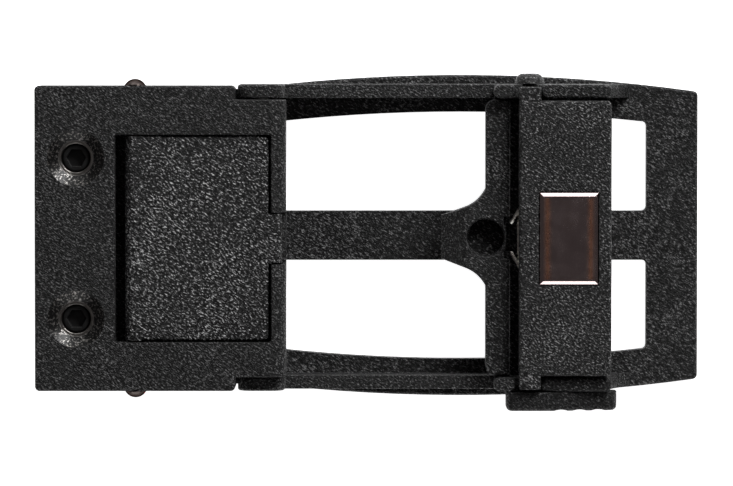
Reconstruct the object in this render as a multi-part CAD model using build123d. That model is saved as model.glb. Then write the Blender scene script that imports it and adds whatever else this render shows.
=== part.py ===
from build123d import *
import math
import os

os.makedirs("parts", exist_ok=True)

# Ratchet belt buckle, lying on its face. X runs along the belt, Y across it, and Z from the flat
# front face (z = 0) towards the wearer. The strap's fixed end is clamped in the housing at -X, and
# its loose end passes from +X between the face plate and everything that stands behind it.

# ---- strap and the tunnel it slides through ----
strap_width = 38.0
strap_side_play = 0.4
tunnel_height = 4.4

# ---- face plate ----
frame_length = 66.8
frame_bow = 2.35             # how far the long edges bow out at their middle
frame_lip = 1.25             # plate beyond the rails at its middle
plate_thickness = 2.6
long_bar = 5.15
end_bar = 7.2
centre_bar = 6.9
plate_corner = 0.7
window_corner = 0.65
front_bevel = 0.6
window_bevel = 0.4
back_bevel = 0.25

# ---- side rails, hinge ears, pawl ears and end walls ----
rail_thickness = 1.9
rail_over_tunnel = 0.5       # the mid rail's top above the tunnel
rail_sunk = 0.3              # rails are rooted this deep in the plate
hinge_inset = 5.6            # housing hinge from the plate's left end
hinge_height = 2.8           # housing hinge above the tunnel
ear_half = 3.28
ear_above_hinge = 2.2
ear_corner = 2.0
ear_pad = 1.7                # low rail end left of the ear, on which the closed housing rests
ear_pad_inset = 0.7
pawl_inset = 23.9            # pawl axle from the plate's right end
pawl_axle_height = 3.3       # pawl axle above the tunnel
pawl_ear_gap = 0.38          # pawl ear's near face from the pawl's barrel
pawl_ear_length = 3.05
end_wall_gap = 0.04          # end wall's near face from the pawl's barrel
end_wall_over = 0.14         # end walls run on past the pawl's free end
saddle_roof = 0.7            # rail left over the axle, between pawl ear and end wall
wall_over_saddle = 1.0
tab_corner = 0.9
soft_edge = 0.35
fine_edge = 0.2
ramp_length = 2.9
ramp_sag_out = 0.35          # where the hollow sweep sags most, as shares of its length and height
ramp_sag_height = 0.33
seat_width = 1.2             # ledges that stop the pawl when it closes
seat_length = 2.4
seat_height = 1.0

# ---- crossbar with its tongue ----
crossbar_width = 3.4
crossbar_gap = 1.16          # crossbar's right face from the pawl's barrel
crossbar_height = 3.8
crossbar_step = 1.4          # upper part that stops just short of the rails
crossbar_end_gap = 0.25
crossbar_corner = 1.25
crossbar_round = 0.6
crossbar_lift = 0.05         # crossbar's underside above the tunnel
tongue_reach = 6.15
tongue_tip_half = 3.05
tongue_root_half = 4.2
tongue_root_reach = 2.9
tongue_flare = 2.6
tongue_tip_height = 0.6
tongue_brow = 2.0            # rounding where the tongue's slope begins
recess_radius = 2.58
recess_depth = 2.9
recess_bevel = 0.22
lip_length = 1.8
lip_thickness = 0.6

# ---- clamp housing ----
housing_length = 34.8
nose_length = 3.5            # housing beyond its hinge
front_wall = 0.8
slot_height = 4.2
back_wall = 2.3
side_wall = 1.75
neck_clearance = 0.2
notch_clearance = 0.25
slot_end_wall = 1.1
housing_corner = 0.65
nose_top_round = 2.0
mouth_bevel = 0.5
window_from_mouth = 11.15
window_end_band = 2.1
window_half = 14.35
screw_from_mouth = 5.7
screw_half_spacing = 11.15
thread_major = 4.83
thread_minor = 4.04
thread_pitch = 0.794
thread_overlap = 0.01
countersink_radius = 3.95
countersink_half_angle = 59.0

# ---- clamp lever and its pin ----
pin_from_mouth = 13.9
pin_radius = 0.7
pin_running = 0.04
pin_roof = 0.05              # metal left between the pin's bore and the strap slot
pin_head_radius = 1.5
pin_head_height = 0.95
knuckle_radius = 1.45
lever_side_gap = 0.22
lever_end_gap = 0.35
lever_thickness = 2.0
lever_sunk = 0.2
tab_half = 3.45
tab_gap = 0.15
tab_thickness = 1.6
tab_short = 0.55
jaw_length = 7.0
jaw_drop = 1.55
jaw_tooth = 0.35
jaw_pitch = 1.0
jaw_lean = 0.3
jaw_root = 0.1

# ---- studs and set screws ----
stud_radius = 1.0
stud_running = 0.05
stud_in_neck = 3.6
stud_flush = 0.05
stud_bevel = 0.3
screw_clearance = 0.05
screw_length = 2.5
screw_recess = 1.5
screw_socket = 2.38
screw_socket_depth = 1.3
screw_bevel = 0.24
screw_cup = 0.5
screw_cup_mouth = 1.58
screw_cup_floor = 0.59

# ---- pawl, insert, axle and release lever ----
barrel_wall = 0.57
pawl_end_wall = 1.72         # pawl beyond the insert's pocket
pawl_over_saddle = 2.5
pawl_side_gap = 0.34
shoulder_short = 0.32        # shoulders stop this far inside the rails' outer faces
shoulder_gap = 0.4
shoulder_undercut = 0.62
shoulder_dip = 0.15          # shoulder's top below the pawl's back
shoulder_step = 0.65
pawl_corner = 0.65
pawl_round = 0.6
insert_near = 1.3            # insert's near edge from the axle
insert_length = 8.13
insert_half = 6.37
insert_cap = 2.2
insert_proud = 0.3
insert_gap = 0.12
insert_step = 1.35
insert_side_step = 0.77
insert_bevel = 0.5
insert_bevel_drop = 0.4
tooth_pitch = 3.2
tooth_count = 2
tooth_depth = 1.3
tooth_dip = 1.2              # tooth tips below the tunnel's roof
tooth_flat = 0.64
tooth_root = 0.2
core_wall = 1.4
core_roof = 2.2
axle_radius = 0.95
axle_running = 0.05
axle_head_radius = 2.12
axle_head_top = 1.65
axle_head_round = 1.05
axle_head_height = 1.42
axle_head_gap = 0.1
release_gap = 0.15
release_thickness = 2.6
release_back = 3.26
release_over = 0.88          # lever's tip beyond the pawl's free end
release_height = 5.4
release_tip_height = 4.6
release_drop = 0.9
release_round = 0.7
release_corner = 1.12
release_bore_depth = 2.0
scallop_radius = 2.4
scallop_depth = 0.2
scallop_pitch = 2.6
scallop_count = 3

# ---- torsion spring ----
wire_radius = 0.25
coil_play = 0.3
coil_turns = 5
coil_pitch = 0.5
coil_valley = 0.03           # valleys between the turns, beyond the coil's mean radius
coil_inner_y = 2.0
spring_clearance = 0.28
leg_drop = 30.0              # the legs run down to the crossbar at this angle
leg_knee = 0.55              # straight start of a leg, before it turns inwards
leg_foot_y = 2.0
leg_hook = 0.42              # the leg's foot reaches this far past the crossbar's right face
notch_inside = 0.4
notch_outside = 0.95
notch_end = 0.25
pocket_depth = 0.55
pocket_half = 2.0
foot_clearance = 0.05

# ---- places worked out from the sizes above ----
rail_in = strap_width / 2 + strap_side_play
rail_out = rail_in + rail_thickness
plate_half = rail_out + frame_lip
roof = plate_thickness + tunnel_height
rail_top = roof + rail_over_tunnel
half_length = frame_length / 2
bow_radius = (half_length ** 2 + frame_bow ** 2) / (2 * frame_bow)

hinge_x = hinge_inset - half_length
hinge_z = roof + hinge_height
axle_x = half_length - pawl_inset
axle_z = roof + pawl_axle_height
barrel_radius = axle_radius + barrel_wall
saddle_z = axle_z + axle_radius + axle_running + saddle_roof
wall_z = saddle_z + wall_over_saddle
ear_x1 = axle_x - barrel_radius - pawl_ear_gap
ear_x0 = ear_x1 - pawl_ear_length
insert_x0 = axle_x + insert_near
insert_x1 = insert_x0 + insert_length
pawl_x1 = insert_x1 + insert_gap + pawl_end_wall
wall_x0 = axle_x + barrel_radius + end_wall_gap
wall_x1 = pawl_x1 + end_wall_over

cross_x1 = axle_x - barrel_radius - crossbar_gap
cross_x0 = cross_x1 - crossbar_width
cross_z0 = roof + crossbar_lift
cross_z1 = roof + crossbar_height

box_x1 = hinge_x + nose_length
box_x0 = box_x1 - housing_length
box_z0 = roof
slot_z0 = box_z0 + front_wall
slot_z1 = slot_z0 + slot_height
box_z1 = slot_z1 + back_wall
box_half = rail_in + side_wall
neck_half = rail_in - neck_clearance
notch_x = hinge_x - math.hypot(ear_half - ear_corner, ear_above_hinge - ear_corner) \
    - ear_corner - notch_clearance
slot_end_x = notch_x - slot_end_wall
window_x0 = box_x0 + window_from_mouth
window_x1 = box_x1 - window_end_band
screw_x = box_x0 + screw_from_mouth

pin_x = box_x0 + pin_from_mouth
pin_z = slot_z1 + pin_roof + pin_radius
lever_z1 = box_z1 - lever_sunk
lever_z0 = lever_z1 - lever_thickness
lever_half = window_half - lever_side_gap
lever_x1 = window_x1 - lever_end_gap
tab_z0 = lever_z1 - tab_thickness

pawl_half = rail_in - pawl_side_gap
pawl_z0 = roof + seat_height
pawl_z1 = saddle_z + pawl_over_saddle
insert_z1 = pawl_z1 + insert_proud
insert_z0 = insert_z1 - insert_cap
stem_x0 = insert_x0 + insert_step
stem_x1 = stem_x0 + tooth_count * tooth_pitch
stem_half = insert_half - insert_side_step
coil_mean_radius = axle_radius + coil_play + wire_radius
coil_outer = coil_mean_radius + wire_radius
coil_end_y = coil_inner_y + coil_turns * coil_pitch
leg_slope = math.tan(math.radians(leg_drop))
heel_x = axle_x - coil_mean_radius * math.sin(math.radians(leg_drop))
heel_z = axle_z + coil_mean_radius * math.cos(math.radians(leg_drop))
foot_x = cross_x1 - leg_hook
foot_z = heel_z - (heel_x - foot_x) * leg_slope
notch_z = foot_z - wire_radius / math.cos(math.radians(leg_drop)) - foot_clearance
pocket_z = axle_z - coil_outer


def block(x0, x1, y0, y1, z0, z1):
    return Pos((x0 + x1) / 2, (y0 + y1) / 2, (z0 + z1) / 2) * Box(x1 - x0, y1 - y0, z1 - z0)


def round_bar(x, z, radius, y0, y1):
    """A cylinder across the belt, from y0 to y1."""
    return Pos(x, (y0 + y1) / 2, z) * Rot(90, 0, 0) * Cylinder(radius, y1 - y0)


def side_profile(face, y0, y1):
    """A profile drawn in X and Z, made solid from y0 to y1."""
    return extrude(Plane(origin=(0, y1, 0), x_dir=(1, 0, 0), z_dir=(0, -1, 0)) * face, amount=y1 - y0)


def both_sides(shape):
    return shape + mirror(shape, about=Plane.XZ)


def edge_height(x):
    """Half-width of the bowed plate at x."""
    return plate_half - bow_radius + math.sqrt(bow_radius ** 2 - x ** 2)


def outline():
    end_y = edge_height(half_length)
    top = ThreePointArc((-half_length, end_y), (0, plate_half), (half_length, end_y))
    right = Line((half_length, end_y), (half_length, -end_y))
    bottom = ThreePointArc((half_length, -end_y), (0, -plate_half), (-half_length, -end_y))
    left = Line((-half_length, -end_y), (-half_length, end_y))
    face = make_face(Curve() + [top, right, bottom, left])
    return fillet(face.vertices(), plate_corner)


def window_shape():
    end_x = half_length - end_bar
    end_y = edge_height(end_x) - long_bar
    low = centre_bar / 2
    top = ThreePointArc((-end_x, end_y), (0, plate_half - long_bar), (end_x, end_y))
    right = Line((end_x, end_y), (end_x, low))
    bottom = Line((end_x, low), (-end_x, low))
    left = Line((-end_x, low), (-end_x, end_y))
    face = make_face(Curve() + [top, right, bottom, left])
    return fillet(face.vertices(), window_corner)


def face_plate():
    plate = extrude(outline(), amount=plate_thickness)
    plate = chamfer(plate.edges().group_by(Axis.Z)[0], front_bevel)
    plate = chamfer(plate.edges().group_by(Axis.Z)[-1], back_bevel)
    window = extrude(window_shape(), amount=plate_thickness)
    rim = extrude(offset(window_shape(), window_bevel), amount=window_bevel, taper=45)
    cut = window + rim
    return plate - cut - mirror(cut, about=Plane.XZ)


def raised_tab(x0, x1, z0, z1):
    """A raised stretch of rail whose corners and top edges are rounded."""
    tab = block(x0, x1, rail_in, rail_out, z0, z1)
    tab = fillet(tab.edges().filter_by(Axis.Z), tab_corner)
    return fillet(tab.faces().sort_by(Axis.Z)[-1].edges(), soft_edge)


def hinge_ear():
    z0 = plate_thickness - rail_sunk
    z1 = hinge_z + ear_above_hinge
    ear = block(hinge_x - ear_half, hinge_x + ear_half, rail_in, rail_out, z0, z1)
    ear = fillet(ear.edges().filter_by(Axis.Y).group_by(Axis.Z)[-1], ear_corner)
    ear = fillet(ear.edges().group_by(Axis.Z)[-1].filter_by(Axis.X).sort_by(Axis.Y)[0], fine_edge)
    return fillet(ear.edges().group_by(Axis.Z)[-1].filter_by(Axis.X).sort_by(Axis.Y)[-1], soft_edge)


def end_ramp():
    """The end wall runs down to the plate in a hollow sweep."""
    z0 = plate_thickness - rail_sunk
    top = (wall_x1 - tab_corner, saddle_z)
    foot = (wall_x1 + ramp_length, plate_thickness)
    sag = (wall_x1 + ramp_sag_out * ramp_length,
           plate_thickness + ramp_sag_height * (saddle_z - plate_thickness))
    sweep_line = ThreePointArc(top, sag, foot)
    under = Polyline(foot, (foot[0], z0), (top[0], z0), top)
    ramp = side_profile(make_face(Curve() + [sweep_line, under]), rail_in, rail_out)
    return fillet(ramp.faces().sort_by(Axis.Z)[-1].edges().group_by(Axis.Y)[-1], soft_edge)


def side_rail():
    z0 = plate_thickness - rail_sunk
    low_end = hinge_x - ear_half - ear_pad
    rail = block(low_end, hinge_x, rail_in, rail_out - ear_pad_inset, z0, roof)
    bar = block(hinge_x, wall_x1 - tab_corner, rail_in, rail_out, z0, rail_top)
    rail += fillet(bar.edges().filter_by(Axis.X).group_by(Axis.Z)[-1], fine_edge)
    rail += hinge_ear()
    base = block(ear_x0 + tab_corner, wall_x1 - tab_corner, rail_in, rail_out, z0, saddle_z)
    rail += fillet(base.edges().filter_by(Axis.X).group_by(Axis.Z)[-1], fine_edge)
    rail += raised_tab(ear_x0, ear_x1, z0, wall_z)
    rail += raised_tab(wall_x0, wall_x1, z0, wall_z)
    rail += end_ramp()
    seat_x1 = pawl_x1 - soft_edge
    rail += block(seat_x1 - seat_length, seat_x1, rail_in - seat_width, rail_in + soft_edge,
                  roof, roof + seat_height)
    rail -= round_bar(axle_x, axle_z, axle_radius + axle_running, rail_in - 1, rail_out + 1)
    rail -= round_bar(hinge_x, hinge_z, stud_radius, rail_in - 1, rail_out + 1)
    return rail


def tongue():
    """Flared tongue that slopes down from the crossbar and ends just above the tunnel."""
    tip_x = cross_x0 - tongue_reach
    root_x = cross_x0 - tongue_root_reach
    flare_y = tongue_root_half + tongue_flare
    side = Polyline((cross_x1 - 1, 0), (tip_x, 0), (tip_x, tongue_tip_half), (root_x, tongue_root_half))
    slope = Vector(root_x - tip_x, tongue_root_half - tongue_tip_half)
    flare = TangentArc((root_x, tongue_root_half), (cross_x0, flare_y), tangent=slope)
    close = Polyline((cross_x0, flare_y), (cross_x1 - 1, flare_y), (cross_x1 - 1, 0))
    half = make_face(Curve() + [side, flare, close])
    solid = both_sides(extrude(Pos(0, 0, cross_z0) * half, amount=cross_z1 - cross_z0))
    ramp = make_face(Polyline((tip_x - 1, cross_z0 + tongue_tip_height - 1),
                              (tip_x, cross_z0 + tongue_tip_height),
                              (root_x, cross_z1), (root_x, cross_z1 + 1),
                              (tip_x - 1, cross_z1 + 1), (tip_x - 1, cross_z0 + tongue_tip_height - 1)))
    solid -= side_profile(ramp, -flare_y - 1, flare_y + 1)
    brow = solid.edges().filter_by(Axis.Y).filter_by_position(Axis.X, root_x - 0.1, root_x + 0.1)
    solid = fillet(brow.sort_by(Axis.Z)[-1], tongue_brow)
    tip = solid.edges().filter_by(Axis.Y).group_by(Axis.X)[0].sort_by(Axis.Z)[-1]
    solid = fillet(tip, soft_edge)
    sides = solid.edges().filter_by(lambda edge: edge.length > root_x - tip_x and edge.center().X < root_x
                                    and edge.center().Z > cross_z0 + tongue_tip_height)
    return fillet(sides, soft_edge)


def crossbar():
    upper_half = rail_in - crossbar_end_gap
    lower = block(cross_x0 + crossbar_corner, cross_x1, -rail_in - rail_sunk, rail_in + rail_sunk,
                  cross_z0, cross_z1 - crossbar_step)
    upper = block(cross_x0, cross_x1, -upper_half, upper_half, cross_z0, cross_z1)
    upper = fillet(upper.edges().filter_by(Axis.Z).group_by(Axis.X)[0], crossbar_corner)
    upper = fillet(upper.faces().sort_by(Axis.Z)[-1].edges().group_by(Axis.X)[-1], crossbar_round)
    lip = block(cross_x1 - 1, cross_x1 + lip_length, -rail_in - rail_sunk, rail_in + rail_sunk,
                cross_z0, cross_z0 + lip_thickness)
    left_top = upper.faces().sort_by(Axis.Z)[-1].edges().filter_by_position(
        Axis.X, cross_x0 - 0.1, cross_x0 + crossbar_corner / 2)
    bar = fillet(left_top, fine_edge) + lower + lip + tongue()
    recess = Pos(cross_x0, 0, cross_z1 - recess_depth / 2) * Cylinder(recess_radius, recess_depth)
    rim_z = cross_z1 - recess_bevel / 2
    recess += Pos(cross_x0, 0, rim_z) * Cone(recess_radius, recess_radius + recess_bevel, recess_bevel)
    pocket = block(cross_x1 - pocket_depth, cross_x1 + 1, -pocket_half, pocket_half, pocket_z, cross_z1)
    notch = block(foot_x - wire_radius - notch_end, cross_x1 + 1,
                  leg_foot_y - notch_inside, leg_foot_y + notch_outside, notch_z, cross_z1)
    return bar - recess - pocket - both_sides(notch)


def face_frame():
    return face_plate() + both_sides(side_rail()) + crossbar()


def nose_profile():
    """The housing's hinge end: below, it is round about the hinge, so that it never drops into the
    tunnel while the housing swings; above, it rounds over to the back face."""
    low = hinge_z - box_z0
    under = CenterArc((hinge_x, hinge_z), low, -90, 80)
    start = under @ 1
    top = JernArc((box_x1, box_z1 - nose_top_round), (0, 1), nose_top_round, 90)
    face = Line(start, (box_x1, hinge_z + low / 3))
    side = Line((box_x1, hinge_z + low / 3), (box_x1, box_z1 - nose_top_round))
    back = Polyline(top @ 1, (notch_x - 1, box_z1), (notch_x - 1, box_z0), (hinge_x, box_z0))
    return make_face(Curve() + [under, face, side, top, back])


def strap_box():
    box = block(box_x0, notch_x, -box_half, box_half, box_z0, box_z1)
    box = fillet(box.edges().filter_by(Axis.Z), housing_corner)
    box = fillet(box.faces().sort_by(Axis.Z)[-1].edges(), soft_edge)
    box = chamfer(box.faces().sort_by(Axis.Z)[0].edges(), soft_edge)
    neck = side_profile(nose_profile(), -neck_half, neck_half)
    for side in (0, -1):
        rim = neck.faces().sort_by(Axis.Y)[side].edges().filter_by(
            lambda edge: edge.center().Z > hinge_z and edge.center().X > notch_x)
        neck = fillet(rim, fine_edge)
    slot = block(box_x0 - 1, slot_end_x, -rail_in, rail_in, slot_z0, slot_z1)
    mouth = side_profile(make_face(Polyline(
        (box_x0, slot_z0 - mouth_bevel), (box_x0 + mouth_bevel, slot_z0), (box_x0 + mouth_bevel, slot_z1),
        (box_x0, slot_z1 + mouth_bevel), (box_x0, slot_z0 - mouth_bevel))), -rail_in, rail_in)
    return box + neck - slot - mouth


def threaded_hole(y):
    """Countersunk hole through the back wall, its thread drawn as rings at the thread's pitch."""
    depth = (countersink_radius - thread_major / 2) / math.tan(math.radians(countersink_half_angle))
    sink = Pos(screw_x, y, box_z1 - depth / 2) * Cone(thread_major / 2, countersink_radius, depth)
    bore = Pos(screw_x, y, (slot_z1 + box_z1) / 2) * Cylinder(thread_minor / 2, back_wall + 1)
    hole = sink + bore
    rings = int((back_wall - depth) / thread_pitch) + 1
    for turn in range(rings):
        z = box_z1 - depth - (turn + 0.5) * thread_pitch
        up = Pos(screw_x, y, z + thread_pitch / 4) * Cone(
            thread_major / 2, thread_minor / 2 - thread_overlap, thread_pitch / 2)
        down = Pos(screw_x, y, z - thread_pitch / 4) * Cone(
            thread_minor / 2 - thread_overlap, thread_major / 2, thread_pitch / 2)
        hole += up + down
    return hole


def clamp_housing():
    box = strap_box()
    window = block(window_x0, window_x1, -window_half, window_half, slot_z1, box_z1 + 1)
    box -= fillet(window.edges().filter_by(Axis.Z), fine_edge)
    rim = box.edges().filter_by_position(Axis.Z, box_z1, box_z1).filter_by_position(
        Axis.X, window_x0, window_x1).filter_by_position(Axis.Y, -window_half, window_half)
    box = fillet(rim, fine_edge)
    box -= block(window_x1 - 1, box_x1 + 1, -tab_half - tab_gap, tab_half + tab_gap, tab_z0, box_z1 + 1)
    for y in (-screw_half_spacing, screw_half_spacing):
        box -= threaded_hole(y)
    box -= round_bar(pin_x, pin_z, pin_radius, -box_half - 1, box_half + 1)
    bore = round_bar(hinge_x, hinge_z, stud_radius + stud_running, neck_half - stud_in_neck, neck_half + 1)
    return box - both_sides(bore)


def clamp_lever():
    knuckle = round_bar(pin_x, pin_z, knuckle_radius, -lever_half, lever_half)
    flap = block(pin_x, lever_x1, -lever_half, lever_half, lever_z0, lever_z1)
    flap = fillet(flap.edges().filter_by(Axis.Z).group_by(Axis.X)[-1], housing_corner)
    flap = fillet(flap.faces().sort_by(Axis.Z)[-1].edges(), soft_edge)
    tab = block(lever_x1 - 1, box_x1 - tab_short, -tab_half, tab_half, tab_z0, lever_z1)
    tab = fillet(tab.edges().filter_by(Axis.Y).group_by(Axis.X)[-1].sort_by(Axis.Z)[-1], nose_top_round / 2)
    tab = fillet(tab.edges().filter_by(Axis.X).group_by(Axis.Z)[-1], fine_edge)
    jaw = block(pin_x, pin_x + jaw_length, -lever_half, lever_half, pin_z - jaw_drop, lever_z0 + soft_edge)
    lever = knuckle + flap + tab + jaw
    for step in range(int(jaw_length / jaw_pitch)):
        x = pin_x + step * jaw_pitch
        z = pin_z - jaw_drop
        tooth = make_face(Polyline((x, z + jaw_root), (x, z), (x + jaw_lean, z - jaw_tooth),
                                   (x + jaw_pitch, z), (x + jaw_pitch, z + jaw_root), (x, z + jaw_root)))
        lever += side_profile(tooth, -lever_half, lever_half)
    bore = round_bar(pin_x, pin_z, pin_radius + pin_running, -lever_half - 1, lever_half + 1)
    return lever - bore


def lever_pin():
    pin = round_bar(pin_x, pin_z, pin_radius, -box_half - soft_edge, box_half + soft_edge)
    dome = (pin_head_radius ** 2 + pin_head_height ** 2) / (2 * pin_head_height)
    head = Pos(pin_x, box_half + pin_head_height - dome, pin_z) * Sphere(dome)
    head &= block(pin_x - dome, pin_x + dome, box_half, box_half + dome, pin_z - dome, pin_z + dome)
    return pin + both_sides(head)


def hinge_stud():
    stud = round_bar(hinge_x, hinge_z, stud_radius, neck_half - stud_in_neck + stud_flush,
                     rail_out - stud_flush)
    return chamfer(stud.faces().sort_by(Axis.Y)[0].edges(), stud_bevel)


def set_screw():
    top = box_z1 - screw_recess
    radius = thread_minor / 2 - screw_clearance
    screw = Pos(0, 0, top - screw_length / 2) * Cylinder(radius, screw_length)
    screw = chamfer(screw.edges().group_by(Axis.Z)[-1], screw_bevel)
    hexagon = RegularPolygon(screw_socket / 2, 6, major_radius=False)
    screw -= extrude(Pos(0, 0, top - screw_socket_depth) * hexagon, amount=screw_socket_depth + 1)
    cup = Pos(0, 0, top - screw_length + screw_cup / 2) * Cone(screw_cup_mouth, screw_cup_floor, screw_cup)
    return screw - cup


def pawl_body():
    body = round_bar(axle_x, axle_z, barrel_radius, -pawl_half, pawl_half)
    cap = block(axle_x - barrel_radius, pawl_x1, -pawl_half, pawl_half, axle_z, pawl_z1)
    cap = fillet(cap.edges().filter_by(Axis.Z), pawl_corner)
    body += fillet(cap.faces().sort_by(Axis.Z)[-1].edges(), pawl_round)
    skirt = block(wall_x0, pawl_x1, -pawl_half, pawl_half, pawl_z0, axle_z + 1)
    return body + fillet(skirt.edges().filter_by(Axis.Z).group_by(Axis.X)[-1], pawl_corner)


def pawl_shoulder():
    """Where the barrel runs out over the rail's saddle. It is undercut beside the pawl ear, so that
    the pawl can tip."""
    y1 = rail_out - shoulder_short
    low = block(axle_x - barrel_radius + shoulder_undercut, axle_x + barrel_radius,
                pawl_half - 1, y1, saddle_z + shoulder_gap, wall_z + shoulder_step + soft_edge)
    high = block(axle_x - barrel_radius, axle_x + barrel_radius, pawl_half - 1, y1,
                 wall_z + shoulder_step, pawl_z1 - shoulder_dip)
    high = fillet(high.faces().sort_by(Axis.Y)[-1].edges().filter_by(Axis.Z), soft_edge)
    high = fillet(high.faces().sort_by(Axis.Z)[-1].edges().filter_by(Axis.Y), soft_edge)
    return low + high


def spring_room():
    """Room for the two coils and the bridge between them."""
    y1 = coil_end_y + spring_clearance
    y0 = coil_inner_y - spring_clearance
    radius = coil_outer + spring_clearance
    room = round_bar(axle_x, axle_z, radius, y0, y1)
    room += block(axle_x - radius, axle_x + radius, y0, y1, pawl_z0 - 1, axle_z)
    groove = block(axle_x - radius, axle_x - coil_mean_radius + wire_radius + foot_clearance, -y0 - 0.1,
                   y0 + 0.1, axle_z - wire_radius - foot_clearance, axle_z + wire_radius + foot_clearance)
    return both_sides(room) + groove


def ratchet_pawl():
    pawl = pawl_body() + both_sides(pawl_shoulder())
    pawl -= block(insert_x0 - insert_gap, insert_x1 + insert_gap, -insert_half - insert_gap,
                  insert_half + insert_gap, insert_z0, pawl_z1 + 1)
    rim = pawl.edges().filter_by_position(Axis.Z, pawl_z1, pawl_z1).filter_by_position(
        Axis.X, insert_x0 - insert_gap, insert_x1 + insert_gap).filter_by_position(
        Axis.Y, -insert_half - insert_gap, insert_half + insert_gap)
    pawl = fillet(rim, fine_edge / 2)
    pawl -= block(stem_x0, stem_x1, -stem_half, stem_half, pawl_z0 - 1, insert_z0 + 1)
    core_y0 = stem_half + core_wall
    core_y1 = pawl_half - core_wall
    core_mid = (core_y0 + core_y1) / 2
    core_x0 = wall_x0 + core_wall / 2
    for y0, y1 in ((core_y0, core_mid - core_wall / 2), (core_mid + core_wall / 2, core_y1)):
        core = block(core_x0, pawl_x1 - core_wall, y0, y1, pawl_z0 - 1, pawl_z1 - core_roof)
        pawl -= both_sides(core)
    pawl -= spring_room()
    return pawl - round_bar(axle_x, axle_z, axle_radius, -pawl_half - 1, pawl_half + 1)


def tooth_insert():
    cap = block(insert_x0, insert_x1, -insert_half, insert_half, insert_z0, insert_z1)
    top = cap.faces().sort_by(Axis.Z)[-1]
    cap = chamfer(top.edges(), insert_bevel, insert_bevel_drop, reference=top)
    tip_z = roof - tooth_dip
    root_z = tip_z + tooth_depth
    insert = cap + block(stem_x0, stem_x1, -stem_half, stem_half, root_z, insert_z0 + 0.5)
    for step in range(tooth_count):
        x = stem_x0 + step * tooth_pitch
        tooth = make_face(Polyline((x, root_z + tooth_root), (x, tip_z), (x + tooth_flat, tip_z),
                                   (x + tooth_pitch, root_z), (x + tooth_pitch, root_z + tooth_root),
                                   (x, root_z + tooth_root)))
        insert += side_profile(tooth, -stem_half, stem_half)
    return insert


def pawl_axle():
    release_in = rail_out + release_gap
    axle = round_bar(axle_x, axle_z, axle_radius, -release_in - release_bore_depth,
                     rail_out + axle_head_gap + soft_edge)
    head_y = rail_out + axle_head_gap + axle_head_height / 2
    head = Pos(axle_x, head_y, axle_z) * Rot(-90, 0, 0) * Cone(
        axle_head_radius, axle_head_top, axle_head_height)
    head = fillet(head.faces().sort_by(Axis.Y)[-1].edges(), axle_head_round)
    return axle + head


def release_lever():
    y1 = -rail_out - release_gap
    y0 = y1 - release_thickness
    x0 = axle_x - release_back
    x1 = pawl_x1 + release_over
    top = axle_z + release_height / 2
    low = axle_z - release_height / 2
    profile = make_face(Polyline(
        (x0, low), (x1, low - release_drop), (x1, low - release_drop + release_tip_height),
        (axle_x + release_back, top), (x0, top), (x0, low)))
    profile = fillet(profile.vertices(), release_corner)
    lever = side_profile(profile, y0, y1)
    lever = fillet(lever.faces().sort_by(Axis.Y)[0].edges(), release_round)
    for step in range(scallop_count):
        x = x1 - scallop_pitch * (step + 1)
        groove = Cylinder(scallop_radius, 4 * release_height)
        lever -= Pos(x, y0 - scallop_radius + scallop_depth, axle_z) * groove
    return lever - round_bar(axle_x, axle_z, axle_radius, y1 - release_bore_depth, y1 + 1)


def spring_coil():
    """One close-wound coil: a ribbed sleeve whose ribs are the turns of wire."""
    arcs = []
    y = coil_inner_y
    for turn in range(coil_turns):
        mid = y + coil_pitch / 2
        arcs.append(ThreePointArc((coil_mean_radius + coil_valley, y), (coil_outer, mid),
                                  (coil_mean_radius + coil_valley, y + coil_pitch)))
        y += coil_pitch
    inner = coil_mean_radius - wire_radius
    end = (coil_mean_radius + coil_valley, coil_end_y)
    start = (coil_mean_radius + coil_valley, coil_inner_y)
    arcs.append(Polyline(end, (inner, coil_end_y), (inner, coil_inner_y), start))
    sleeve = revolve(make_face(Curve() + arcs), axis=Axis.Y)
    return Pos(axle_x, 0, axle_z) * sleeve


def wire(start, end):
    path = Line(start, end)
    section = Plane(origin=start, z_dir=path % 0) * Circle(wire_radius)
    return extrude(section, amount=path.length)


def pawl_spring():
    bridge_x = axle_x - coil_mean_radius
    overlap = coil_inner_y + coil_pitch / 2
    bridge = round_bar(bridge_x, axle_z, wire_radius, -overlap, overlap)
    heel = (heel_x, coil_end_y - wire_radius, heel_z)
    knee = (heel_x - leg_knee, heel[1], heel_z - leg_knee * leg_slope)
    foot = (foot_x, leg_foot_y, foot_z)
    leg = wire(heel, knee) + wire(knee, foot)
    for end in (knee, foot):
        leg += Pos(*end) * Sphere(wire_radius)
    return both_sides(spring_coil() + leg) + bridge


nodes = {
    "face_frame": face_frame(),
    "clamp_housing": clamp_housing(),
    "clamp_lever": clamp_lever(),
    "lever_pin": lever_pin(),
    "hinge_stud_upper": hinge_stud(),
    "hinge_stud_lower": mirror(hinge_stud(), about=Plane.XZ),
    "set_screw_upper": Pos(screw_x, screw_half_spacing, 0) * set_screw(),
    "set_screw_lower": Pos(screw_x, -screw_half_spacing, 0) * set_screw(),
    "ratchet_pawl": ratchet_pawl(),
    "tooth_insert": tooth_insert(),
    "pawl_axle": pawl_axle(),
    "release_lever": release_lever(),
    "pawl_spring": pawl_spring(),
}

for name, shape in nodes.items():
    export_step(shape, f"parts/{name}.step")
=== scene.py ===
import math

import bmesh
import bpy
from mathutils import Matrix, Vector


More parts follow.
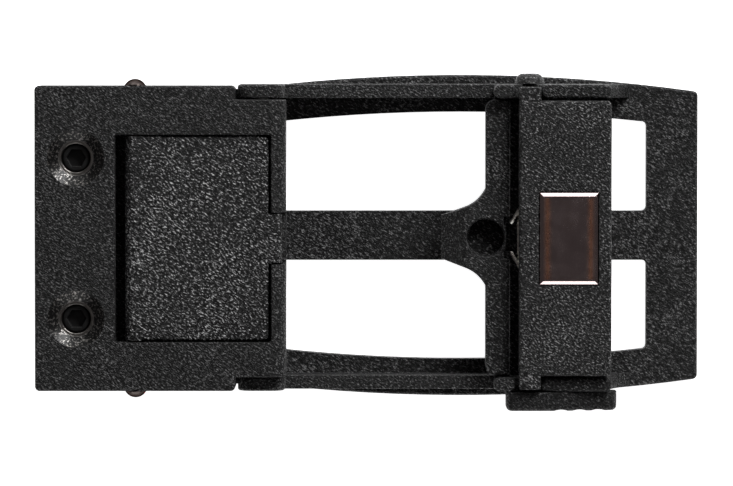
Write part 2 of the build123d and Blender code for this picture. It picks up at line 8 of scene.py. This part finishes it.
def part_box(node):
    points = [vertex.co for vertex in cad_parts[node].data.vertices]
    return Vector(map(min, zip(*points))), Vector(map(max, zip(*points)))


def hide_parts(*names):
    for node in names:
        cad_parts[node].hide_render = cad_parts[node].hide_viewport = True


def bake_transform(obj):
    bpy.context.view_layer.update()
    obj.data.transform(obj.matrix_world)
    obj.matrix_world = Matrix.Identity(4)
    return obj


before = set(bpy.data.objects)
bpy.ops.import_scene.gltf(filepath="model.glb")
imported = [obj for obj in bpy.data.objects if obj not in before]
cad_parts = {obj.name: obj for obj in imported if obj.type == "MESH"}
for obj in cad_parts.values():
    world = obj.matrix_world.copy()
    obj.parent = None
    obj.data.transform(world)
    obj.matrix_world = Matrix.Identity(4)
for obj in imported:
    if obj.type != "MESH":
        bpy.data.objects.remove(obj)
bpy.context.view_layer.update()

# ---- face frame ----
# One zinc die casting: the face plate with its two windows, the rails, ears and end walls, and the
# crossbar with its tongue. It is tumbled, then coated black, and its coat keeps the casting's grain.


def node(tree, kind, feeds=None, **settings):
    """A shader node in a tree. A feed that is a socket is linked, and any other value is set."""
    made = tree.nodes.new("ShaderNode" + kind)
    for name, value in settings.items():
        setattr(made, name, value)
    for key, feed in (feeds or {}).items():
        if isinstance(feed, bpy.types.NodeSocket):
            tree.links.new(feed, made.inputs[key])
        else:
            made.inputs[key].default_value = feed
    return made


def mixed(tree, mask, low, high):
    """Colour or value low where the mask is 0 and high where it is 1."""
    return node(tree, "Mix", {0: mask, 6: low, 7: high}, data_type="RGBA").outputs[2]


def math_of(tree, operation, *feeds):
    return node(tree, "Math", dict(enumerate(feeds)), operation=operation).outputs[0]


def ramped(tree, value, low, high, to_low=0.0, to_high=1.0):
    """A smooth step of a value, from to_low at low to to_high at high."""
    feeds = {0: value, 1: low, 2: high, 3: to_low, 4: to_high}
    return node(tree, "MapRange", feeds, interpolation_type="SMOOTHSTEP").outputs[0]


def effect(name, takes, gives):
    """An empty node group with the named inputs and outputs."""
    tree = bpy.data.node_groups.new(name, "ShaderNodeTree")
    for label, kind, value in takes:
        socket = tree.interface.new_socket(label, in_out="INPUT", socket_type="NodeSocket" + kind)
        socket.default_value = value
    for label, kind in gives:
        tree.interface.new_socket(label, in_out="OUTPUT", socket_type="NodeSocket" + kind)
    return tree, tree.nodes.new("NodeGroupInput").outputs, tree.nodes.new("NodeGroupOutput").inputs


def noise_of(tree, place, scale, detail=2.0, rough=0.5):
    feeds = {"Vector": place, "Scale": scale, "Detail": detail, "Roughness": rough}
    return node(tree, "TexNoise", feeds).outputs[0]


def grain_and_painted_light():
    """Grain of a die casting under its coat: a height, a mask of its crests, where highlights are
    painted, one of its pits, where shade is painted, and a slow drift over the part. Its pebbles are
    drawn out along one slant."""
    drift_scale = 130.0
    slant = -0.55
    stretch = (1.5, 0.75, 0.9)
    pebble_share = 0.7
    grit_share = 0.3
    grit_finer = 2.3
    peak_sharpness = 2.3
    peak_drift = 0.12
    tree, takes, gives = effect(
        "grain and painted light", [("Scale", "Float", 3600.0)],
        [("Height", "Float"), ("Painted Glints", "Float"), ("Painted Pit Shade", "Float"), ("Drift", "Float")])
    place = node(tree, "TexCoord").outputs["Object"]
    drift = noise_of(tree, place, drift_scale, 3.0, 0.6)
    ridges = node(tree, "Mapping", {"Vector": place, "Rotation": (0, 0, slant), "Scale": stretch},
                  vector_type="TEXTURE").outputs[0]
    pebble = noise_of(tree, ridges, takes["Scale"], 2.0, 0.55)
    grit_scale = math_of(tree, "MULTIPLY", takes["Scale"], grit_finer)
    grit = noise_of(tree, ridges, grit_scale, 1.0, 0.5)
    both = math_of(tree, "ADD", math_of(tree, "MULTIPLY", pebble, pebble_share),
                   math_of(tree, "MULTIPLY", grit, grit_share))
    sway = math_of(tree, "MULTIPLY", math_of(tree, "SUBTRACT", drift, 0.5), peak_drift)
    tree.links.new(ramped(tree, both, 0.36, 0.66), gives["Height"])
    # The crest mask places painted highlights, and the pit mask painted shade.
    crest = ramped(tree, math_of(tree, "ADD", both, sway), 0.47, 0.7)
    tree.links.new(math_of(tree, "POWER", crest, peak_sharpness), gives["Painted Glints"])
    tree.links.new(ramped(tree, both, 0.48, 0.36), gives["Painted Pit Shade"])
    tree.links.new(drift, gives["Drift"])
    return tree


def worn_edge():
    """Rounded normals at the edges, and a broken mask of where the coat is rubbed there."""
    tree, takes, gives = effect("worn edge", [("Radius", "Float", 0.0002), ("Scale", "Float", 1100.0)],
                                [("Normal", "Vector"), ("Mask", "Float")])
    rub_starts = 0.995
    rub_full = 0.85
    soft = node(tree, "Bevel", {"Radius": takes["Radius"]}, samples=6).outputs[0]
    flat = node(tree, "NewGeometry").outputs["Normal"]
    facing = node(tree, "VectorMath", {0: soft, 1: flat}, operation="DOT_PRODUCT").outputs["Value"]
    place = node(tree, "TexCoord").outputs["Object"]
    broken = ramped(tree, noise_of(tree, place, takes["Scale"], 3.0, 0.65), 0.38, 0.66)
    edge = ramped(tree, facing, rub_starts, rub_full)
    tree.links.new(soft, gives["Normal"])
    tree.links.new(math_of(tree, "MULTIPLY", edge, broken), gives["Mask"])
    return tree


def smooth_zone():
    """1 inside a box in the part's own coordinates, falling to 0 outside it."""
    tree, takes, gives = effect(
        "smooth zone", [("Low", "Vector", (0, 0, 0)), ("High", "Vector", (0, 0, 0)),
                        ("Feather", "Float", 0.0004)], [("Mask", "Float")])
    place = node(tree, "TexCoord").outputs["Object"]
    above = node(tree, "VectorMath", {0: place, 1: takes["Low"]}, operation="SUBTRACT").outputs[0]
    below = node(tree, "VectorMath", {0: takes["High"], 1: place}, operation="SUBTRACT").outputs[0]
    inside = node(tree, "VectorMath", {0: above, 1: below}, operation="MINIMUM").outputs[0]
    parts = node(tree, "SeparateXYZ", {0: inside}).outputs
    least = math_of(tree, "MINIMUM", math_of(tree, "MINIMUM", parts[0], parts[1]), parts[2])
    tree.links.new(node(tree, "MapRange", {0: least, 1: 0.0, 2: takes["Feather"]}).outputs[0], gives[0])
    return tree


GRAIN_AND_PAINTED_LIGHT = grain_and_painted_light()
WORN_EDGE = worn_edge()
SMOOTH_ZONE = smooth_zone()


def new_finish(name):
    """A material with its Principled BSDF, ready for its nodes."""
    finish = bpy.data.materials.new(name)
    finish.use_nodes = True
    tree = finish.node_tree
    return finish, tree, tree.nodes["Principled BSDF"]


def used(tree, group, **values):
    """An effect group placed in a material, with its own values."""
    made = tree.nodes.new("ShaderNodeGroup")
    made.node_tree = group
    for label, value in values.items():
        made.inputs[label].default_value = value
    return made.outputs


def black_coat(name, grain=1.0, glint_paint=1.0, scale=3600.0, shine=0.4, smooth=None):
    """Black coat over cast zinc, with highlights painted on its grain's crests and shade painted in its
    pits. grain sets the depth of its pebbles, the value after it how bright those painted highlights
    are, and shine how rough they are. smooth is the box, by its two corners, where it is polished."""
    pebble_depth = 0.00008 * grain
    polished_share = 0.25
    # The darkest black below is painted shade in the grain's pits, and the pale grey a painted highlight
    # on its crests.
    pit_shade_black = (0.0012, 0.0012, 0.0012, 1)
    deep_black = (0.0025, 0.0025, 0.0027, 1)
    body_black = (0.0055, 0.0055, 0.0058, 1)
    rubbed_grey = (0.12, 0.12, 0.122, 1)
    bright = 0.36 * glint_paint
    painted_glint_grey = (bright, bright, bright * 1.01, 1)
    finish, tree, skin = new_finish(name)
    cast = used(tree, GRAIN_AND_PAINTED_LIGHT, Scale=scale)
    edge = used(tree, WORN_EDGE)
    height, glint_mask = cast["Height"], cast["Painted Glints"]
    if smooth:
        polished = used(tree, SMOOTH_ZONE, Low=smooth[0], High=smooth[1])["Mask"]
        calm = ramped(tree, polished, 0.0, 1.0, 1.0, polished_share)
        height = math_of(tree, "MULTIPLY", height, calm)
        glint_mask = math_of(tree, "MULTIPLY", glint_mask, calm)
    # Painted shade goes into the pits and painted highlights on to the crests, over the drifting black.
    body = mixed(tree, cast["Drift"], deep_black, body_black)
    pit_shaded = mixed(tree, cast["Painted Pit Shade"], body, pit_shade_black)
    with_painted_glints = mixed(tree, glint_mask, pit_shaded, painted_glint_grey)
    tree.links.new(mixed(tree, edge["Mask"], with_painted_glints, rubbed_grey), skin.inputs["Base Color"])
    dull = ramped(tree, height, 0.65, 0.1, shine - 0.05, shine + 0.4)
    patchy = math_of(tree, "MULTIPLY", math_of(tree, "SUBTRACT", cast["Drift"], 0.5), 0.25)
    tree.links.new(math_of(tree, "ADD", dull, patchy), skin.inputs["Roughness"])
    bump = node(tree, "Bump", {"Strength": 1.0, "Distance": pebble_depth, "Height": height,
                               "Normal": edge["Normal"]})
    tree.links.new(bump.outputs[0], skin.inputs["Normal"])
    skin.inputs["IOR"].default_value = 1.33
    return finish, tree, skin


def dress(piece, finish):
    """Gives a node or piece its finish."""
    piece.data.materials.clear()
    piece.data.materials.append(finish)


frame_low, frame_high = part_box("face_frame")
past_edges = 0.001
face_depth = 0.0009
face_low = (frame_low.x - past_edges, frame_low.y - past_edges, -past_edges)
face_high = (frame_high.x + past_edges, frame_high.y + past_edges, face_depth)
frame_coat = black_coat("black frame coat", glint_paint=0.75, smooth=(face_low, face_high))[0]
dress(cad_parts["face_frame"], frame_coat)

# ---- clamp housing ----
# The zinc box that grips the belt's end, cast in one. Its two holes are countersunk and tapped after
# coating, so their threads are bare metal and their cones show the cutter's scuffs.
screw_low, screw_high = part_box("set_screw_upper")
screw_centre = (screw_low + screw_high) / 2


def round_the_screws():
    """1 within a radius of either screw's axis, which stand at +Y and -Y, 0 outside it."""
    blur_out = 0.00006
    blur_in = 0.00002
    tree, takes, gives = effect(
        "round the screws", [("Centre", "Vector", (0, 0, 0)), ("Radius", "Float", 0.0025)],
        [("Mask", "Float")])
    place = node(tree, "TexCoord").outputs["Object"]
    folded = node(tree, "VectorMath", {0: place}, operation="ABSOLUTE").outputs[0]
    middle = node(tree, "VectorMath", {0: takes["Centre"]}, operation="ABSOLUTE").outputs[0]
    away = node(tree, "VectorMath", {0: folded, 1: middle}, operation="SUBTRACT").outputs[0]
    flat = node(tree, "VectorMath", {0: away, 1: (1, 1, 0)}, operation="MULTIPLY").outputs[0]
    gap = node(tree, "VectorMath", {0: flat}, operation="LENGTH").outputs["Value"]
    over = math_of(tree, "SUBTRACT", gap, takes["Radius"])
    tree.links.new(ramped(tree, over, blur_out, -blur_in), gives["Mask"])
    return tree


AROUND_SCREWS = round_the_screws()
thread_radius = 0.00244
sink_radius = 0.00393
thread_steel = (0.2, 0.19, 0.18, 1)
cut_bright = (0.24, 0.23, 0.22, 1)
cut_dark = (0.004, 0.004, 0.004, 1)
cut_rough = 0.28
cut_grain = 0.2
scuff_scale = 3000.0
housing_coat, tree, skin = black_coat("black housing coat", grain=0.9, glint_paint=0.6)
bare = used(tree, AROUND_SCREWS, Centre=screw_centre, Radius=thread_radius)["Mask"]
sunk = used(tree, AROUND_SCREWS, Centre=screw_centre, Radius=sink_radius)["Mask"]
cone = math_of(tree, "SUBTRACT", sunk, bare)
place = node(tree, "TexCoord").outputs["Object"]
scuffs = ramped(tree, noise_of(tree, place, scuff_scale, 3.0, 0.7), 0.52, 0.64)
chatter = math_of(tree, "MULTIPLY", cone, scuffs)
# The coat's colour taken here carries its painted highlights and painted pit shade.
coat_colour_with_painted_light = skin.inputs["Base Color"].links[0].from_socket
cast_rough = skin.inputs["Roughness"].links[0].from_socket
cut = mixed(tree, scuffs, cut_dark, cut_bright)
tree.links.new(mixed(tree, bare, mixed(tree, cone, coat_colour_with_painted_light, cut), thread_steel),
               skin.inputs["Base Color"])
tree.links.new(math_of(tree, "MAXIMUM", bare, chatter), skin.inputs["Metallic"])
cone_rough = node(tree, "Mix", {0: sunk, 2: cast_rough, 3: cut_rough}, data_type="FLOAT").outputs[0]
tree.links.new(cone_rough, skin.inputs["Roughness"])
bump = tree.nodes["Bump"]
cast_height = bump.inputs["Height"].links[0].from_socket
flat_cut = math_of(tree, "MULTIPLY", cast_height, ramped(tree, sunk, 0, 1, 1, cut_grain))
tree.links.new(flat_cut, bump.inputs["Height"])
dress(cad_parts["clamp_housing"], housing_coat)

# ---- clamp lever ----
# The flap that pinches the belt's end: a zinc casting with a plain back, a serrated jaw underneath
# and a lift tab at its end. It turns on the lever pin, and its coat is coarser than the others.
flap_coat = black_coat("black flap coat", grain=1.4, glint_paint=1.9, scale=3200.0)[0]
dress(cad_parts["clamp_lever"], flap_coat)

# ---- lever pin ----
# A steel wire pin that holds the flap. It is fixed in the housing's two side walls, its ends are
# formed into domes outside them, and it is plated with dark nickel.


def turned_metal(name, colour, rough, scale):
    """Plated or bare steel with fine turning marks round an axis across the belt, and a thin film."""
    marks_close = (1.0, 9.0, 1.0)
    film_scale = 900.0
    mark_depth = 0.000004
    finish, tree, skin = new_finish(name)
    place = node(tree, "TexCoord").outputs["Object"]
    lines = node(tree, "Mapping", {"Vector": place, "Scale": marks_close}).outputs[0]
    marks = noise_of(tree, lines, scale, 2.0, 0.6)
    film = noise_of(tree, place, film_scale, 4.0, 0.6)
    edge = used(tree, WORN_EDGE, Radius=0.00012)
    pale = tuple(min(1.0, c * 1.25) for c in colour) + (1,)
    dark = tuple(c * 0.72 for c in colour) + (1,)
    tree.links.new(mixed(tree, ramped(tree, film, 0.35, 0.7), dark, pale), skin.inputs["Base Color"])
    tree.links.new(ramped(tree, film, 0.3, 0.75, rough * 0.75, rough * 1.5), skin.inputs["Roughness"])
    bump = node(tree, "Bump", {"Strength": 1.0, "Distance": mark_depth, "Height": marks,
                               "Normal": edge["Normal"]})
    tree.links.new(bump.outputs[0], skin.inputs["Normal"])
    skin.inputs["Metallic"].default_value = 1.0
    return finish


dark_nickel = turned_metal("dark nickel", (0.055, 0.046, 0.043), 0.2, 1500.0)
nickel_skin = dark_nickel.node_tree.nodes["Principled BSDF"]
nickel_skin.inputs["Specular Tint"].default_value = (0.25, 0.22, 0.22, 1)
dress(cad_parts["lever_pin"], dark_nickel)

# ---- hinge studs ----
# Two plain turned steel studs, pressed into the frame's ears and flush with them outside. Their
# inner ends stand in bores of the housing's neck, which swings on them.
stud_steel = turned_metal("stud steel", (0.4, 0.39, 0.38), 0.3, 2200.0)
for name in ("hinge_stud_upper", "hinge_stud_lower"):
    dress(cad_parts[name], stud_steel)

# ---- set screws ----
# Headless screws with a hexagon socket, black oxide steel, run down below the countersinks on to
# the belt. The socket's rim and the top of the thread are rubbed back to steel. Their black is
# darker than the oxide's own, as painted shade deep in their holes.
oxide_scale = 1600.0
oxide_depth = 0.000012
# These two tones are black oxide darkened further as painted shade in the holes.
oxide_and_hole_shade_low = (0.002, 0.002, 0.002, 1)
oxide_and_hole_shade_high = (0.006, 0.006, 0.006, 1)
oxide_rubbed = (0.03, 0.029, 0.028, 1)
screw_finish, tree, skin = new_finish("black oxide screw with painted shade")
place = node(tree, "TexCoord").outputs["Object"]
oxide = noise_of(tree, place, oxide_scale, 3.0, 0.6)
edge = used(tree, WORN_EDGE, Radius=0.00018, Scale=2600.0)
base = mixed(tree, oxide, oxide_and_hole_shade_low, oxide_and_hole_shade_high)
tree.links.new(mixed(tree, edge["Mask"], base, oxide_rubbed), skin.inputs["Base Color"])
tree.links.new(ramped(tree, oxide, 0.3, 0.7, 0.45, 0.6), skin.inputs["Roughness"])
bump = node(tree, "Bump", {"Strength": 1.0, "Distance": oxide_depth, "Height": oxide,
                           "Normal": edge["Normal"]})
tree.links.new(bump.outputs[0], skin.inputs["Normal"])
skin.inputs["Metallic"].default_value = 0.2
for name in ("set_screw_upper", "set_screw_lower"):
    dress(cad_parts[name], screw_finish)

# ---- ratchet pawl ----
# The zinc casting that locks the belt. It turns on the axle between the frame's end walls, and
# carries the toothed insert in a pocket.
dress(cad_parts["ratchet_pawl"], black_coat("black pawl coat", glint_paint=1.25)[0])

# ---- toothed insert ----
# A steel block, bevelled round its top, polished and nickel plated, set in the pawl a little proud.
# A brown band is painted inside each long edge as a reflection, and handling has left a few fine specks.
insert_low, insert_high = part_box("tooth_insert")
insert_centre = (insert_low + insert_high) / 2
band_place = 0.003
band_half = 0.0008
band_wander = 0.0004
band_reach = 0.0055
band_end_fade = 0.0003
haze_scale = 420.0
speck_scale = 5200.0
speck_depth = 0.000004
plate_dark = (0.43, 0.345, 0.34, 1)
plate_pale = (0.52, 0.42, 0.415, 1)
painted_reflection_brown = (0.5, 0.25, 0.17, 1)
speck_bright = (0.9, 0.82, 0.8, 1)
plate_finish, tree, skin = new_finish("bright plate")
place = node(tree, "TexCoord").outputs["Object"]
centred = node(tree, "VectorMath", {0: place, 1: insert_centre}, operation="SUBTRACT").outputs[0]
from_centre = node(tree, "SeparateXYZ", {0: centred}).outputs
along_belt = math_of(tree, "ABSOLUTE", from_centre[0])
across_belt = math_of(tree, "ABSOLUTE", from_centre[1])
haze = noise_of(tree, place, haze_scale, 4.0, 0.6)
wander = math_of(tree, "MULTIPLY", math_of(tree, "SUBTRACT", haze, 0.5), band_wander)
wavy = math_of(tree, "ADD", along_belt, wander)
offset = math_of(tree, "ABSOLUTE", math_of(tree, "SUBTRACT", wavy, band_place))
inside = ramped(tree, across_belt, band_reach + band_end_fade, band_reach)
reflection_band = math_of(tree, "MULTIPLY", ramped(tree, offset, band_half, 0.0), inside)
specks = ramped(tree, noise_of(tree, place, speck_scale, 1.0, 0.5), 0.7, 0.76)
# The brown mixed in here is a painted reflection in a band along each long edge.
with_reflection_band = mixed(tree, reflection_band, mixed(tree, haze, plate_dark, plate_pale), painted_reflection_brown)
tree.links.new(mixed(tree, specks, with_reflection_band, speck_bright), skin.inputs["Base Color"])
polish = ramped(tree, haze, 0.3, 0.75, 0.12, 0.2)
rough = math_of(tree, "ADD", polish, math_of(tree, "MULTIPLY", reflection_band, 0.12))
tree.links.new(rough, skin.inputs["Roughness"])
edge = used(tree, WORN_EDGE, Radius=0.00005)
bump = node(tree, "Bump", {"Strength": 0.4, "Distance": speck_depth, "Height": specks,
                           "Normal": edge["Normal"]})
bump.invert = True
tree.links.new(bump.outputs[0], skin.inputs["Normal"])
skin.inputs["Metallic"].default_value = 1.0
dress(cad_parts["tooth_insert"], plate_finish)

# ---- pawl axle ----
# A headed steel axle through both end walls and the pawl, which turns with it. Its head, the only
# part that shows, is sprayed over with the same black coat.
axle_coat = black_coat("black axle coat", grain=0.4, glint_paint=0.8, shine=0.3)[0]
dress(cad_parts["pawl_axle"], axle_coat)

# ---- release lever ----
# A zinc casting fixed on the axle's far end, outside the frame, with three shallow grips for a
# thumb, which presses it to lift the pawl. Its coat is a little smoother than the frame's.
release_coat = black_coat("black release coat", grain=0.8, glint_paint=0.5)[0]
dress(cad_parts["release_lever"], release_coat)

# ---- pawl spring ----
# A double torsion spring in drawn stainless wire: two close coils on the axle, joined by a bridge
# that bears on the pawl, each with a leg that runs down into a notch in the crossbar's edge.
WIRE = 0.00025
axle_low, axle_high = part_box("pawl_axle")
spring_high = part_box("pawl_spring")[1]
axle = Vector((axle_low.x + axle_high.x, 0, axle_low.z + axle_high.z)) / 2
coil_radius = spring_high.x - axle.x - WIRE
coil_start = 0.00225
coil_span = spring_high.y - WIRE - coil_start
bridge_bend = 0.0004
leg_drop = math.radians(30)
leg_start = 0.0003
leg_bend = 0.0005
leg_turn = math.radians(55)
leg_reach = 0.0025
coil_turns = 3.75
coil_steps = 120
bend_steps = 6
end_round = 0.35 * WIRE
merge_within = 0.00001
SIDES = 14


def run_on(bm, ring, offset):
    """The wire goes straight on by an offset, and its new end ring is returned."""
    grown = bmesh.ops.extrude_edge_only(bm, edges=ring)["geom"]
    verts = [g for g in grown if isinstance(g, bmesh.types.BMVert)]
    bmesh.ops.translate(bm, verts=verts, vec=offset)
    return [g for g in grown if isinstance(g, bmesh.types.BMEdge) and all(v in verts for v in g.verts)]


def bend_on(bm, ring, centre, axis, angle, steps, creep=(0, 0, 0)):
    """The wire bends or coils on about an axis, creeping along it, and its new end ring is returned."""
    last = bmesh.ops.spin(bm, geom=ring, cent=centre, axis=axis, dvec=Vector(creep) / steps,
                          angle=angle, steps=steps, use_duplicate=False)["geom_last"]
    return [g for g in last if isinstance(g, bmesh.types.BMEdge)]


def spring_half():
    """Half of the spring, from the middle of its bridge to the end of one leg."""
    bm = bmesh.new()
    start = Matrix.Translation((axle.x - coil_radius, 0, axle.z + bridge_bend))
    bmesh.ops.create_circle(bm, segments=SIDES, radius=WIRE,
                            matrix=start @ Matrix.Rotation(math.pi / 2, 4, "X"))
    ring = run_on(bm, bm.edges[:], (0, coil_start - bridge_bend, 0))
    bend_centre = (axle.x - coil_radius, coil_start - bridge_bend, axle.z)
    ring = bend_on(bm, ring, bend_centre, (-1, 0, 0), math.pi / 2, bend_steps)
    wound = coil_turns * math.tau + leg_drop
    ring = bend_on(bm, ring, axle, (0, -1, 0), wound, coil_steps, (0, coil_span, 0))
    heel = axle + coil_radius * Vector((-math.sin(leg_drop), 0, math.cos(leg_drop)))
    out = Vector((-math.cos(leg_drop), 0, -math.sin(leg_drop)))
    upright = Vector((-math.sin(leg_drop), 0, math.cos(leg_drop)))
    ring = run_on(bm, ring, leg_start * out)
    turn_centre = heel + leg_start * out + Vector((0, coil_start + coil_span - leg_bend, 0))
    ring = bend_on(bm, ring, turn_centre, upright, leg_turn, bend_steps)
    ring = run_on(bm, ring, leg_reach * (out * math.cos(leg_turn) + Vector((0, -math.sin(leg_turn), 0))))
    end = bmesh.ops.edgeloop_fill(bm, edges=ring)["faces"]
    bmesh.ops.bevel(bm, geom=list(end[0].edges), offset=end_round, affect="EDGES", segments=2,
                    profile=0.5, material=-1)
    return bm


bm = spring_half()
bmesh.ops.mirror(bm, geom=bm.verts[:] + bm.edges[:] + bm.faces[:], axis="Y",
                 merge_dist=merge_within, matrix=Matrix())
bmesh.ops.remove_doubles(bm, verts=bm.verts, dist=merge_within)
bmesh.ops.recalc_face_normals(bm, faces=bm.faces)
for face in bm.faces:
    face.smooth = True
spring_mesh = bpy.data.meshes.new("torsion_spring")
bm.to_mesh(spring_mesh)
bm.free()
spring = bpy.data.objects.new("torsion_spring", spring_mesh)
bpy.context.scene.collection.objects.link(spring)
dress(spring, turned_metal("drawn wire", (0.85, 0.8, 0.74), 0.28, 2600.0))
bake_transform(spring)
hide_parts("pawl_spring")

# ---- table, light and camera ----
# A plain white table that glows round the buckle, four soft lamps, and a long lens that looks almost
# straight down, leaning a little towards the buckle's upper edge.
table_gap = 0.00003
glow_full = 0.1
glow_gone = 0.35
bpy.ops.mesh.primitive_plane_add(size=4.0, location=(0, 0, -table_gap))
table = bpy.context.object
table.name = "table"
white, tree, skin = new_finish("white table")
spot = node(tree, "VectorMath", {0: node(tree, "TexCoord").outputs["Object"]}, operation="LENGTH")
glow = ramped(tree, spot.outputs["Value"], glow_full, glow_gone, 1.0, 0.0)
skin.inputs["Base Color"].default_value = (0.85, 0.85, 0.85, 1)
skin.inputs["Roughness"].default_value = 0.9
skin.inputs["Emission Strength"].default_value = 1.0
tree.links.new(glow, skin.inputs["Emission Color"])
table.data.materials.append(white)


def soft_lamp(name, place, size, power, aim=(-0.013, 0, 0.005)):
    """A rectangular soft box that looks at the buckle."""
    light = bpy.data.lights.new(name, "AREA")
    light.shape = "RECTANGLE"
    light.size, light.size_y = size
    light.energy = power
    lamp = bpy.data.objects.new(name, light)
    lamp.location = place
    lamp.rotation_euler = (Vector(aim) - Vector(place)).to_track_quat("-Z", "Y").to_euler()
    bpy.context.scene.collection.objects.link(lamp)


soft_lamp("key lamp", (0.3, 0.5, 0.4), (0.3, 0.3), 4.4)
soft_lamp("small top lamp", (0.06, 0.14, 0.62), (0.12, 0.12), 0.06)
soft_lamp("upper panel", (0.0, 0.62, 0.14), (0.8, 0.26), 2.2)
soft_lamp("lower panel", (0.0, -0.62, 0.14), (0.8, 0.26), 1.9)
world = bpy.data.worlds.new("studio")
bpy.context.scene.world = world
world.use_nodes = True
walls = world.node_tree.nodes["Background"]
walls.inputs["Color"].default_value = (0.06, 0.055, 0.055, 1)
walls.inputs["Strength"].default_value = 1.0
bpy.context.scene.view_settings.view_transform = "Standard"

view_centre = Vector((-0.01316, -0.00107, 0.003))
lean = math.radians(2.4)
distance = 0.697
lens = bpy.data.cameras.new("camera")
lens.sensor_width = 36.0
lens.lens = 243.4
camera = bpy.data.objects.new("camera", lens)
camera.location = view_centre + distance * Vector((0, math.sin(lean), math.cos(lean)))
camera.rotation_euler = (-lean, 0, 0)
bpy.context.scene.collection.objects.link(camera)
bpy.context.scene.camera = camera
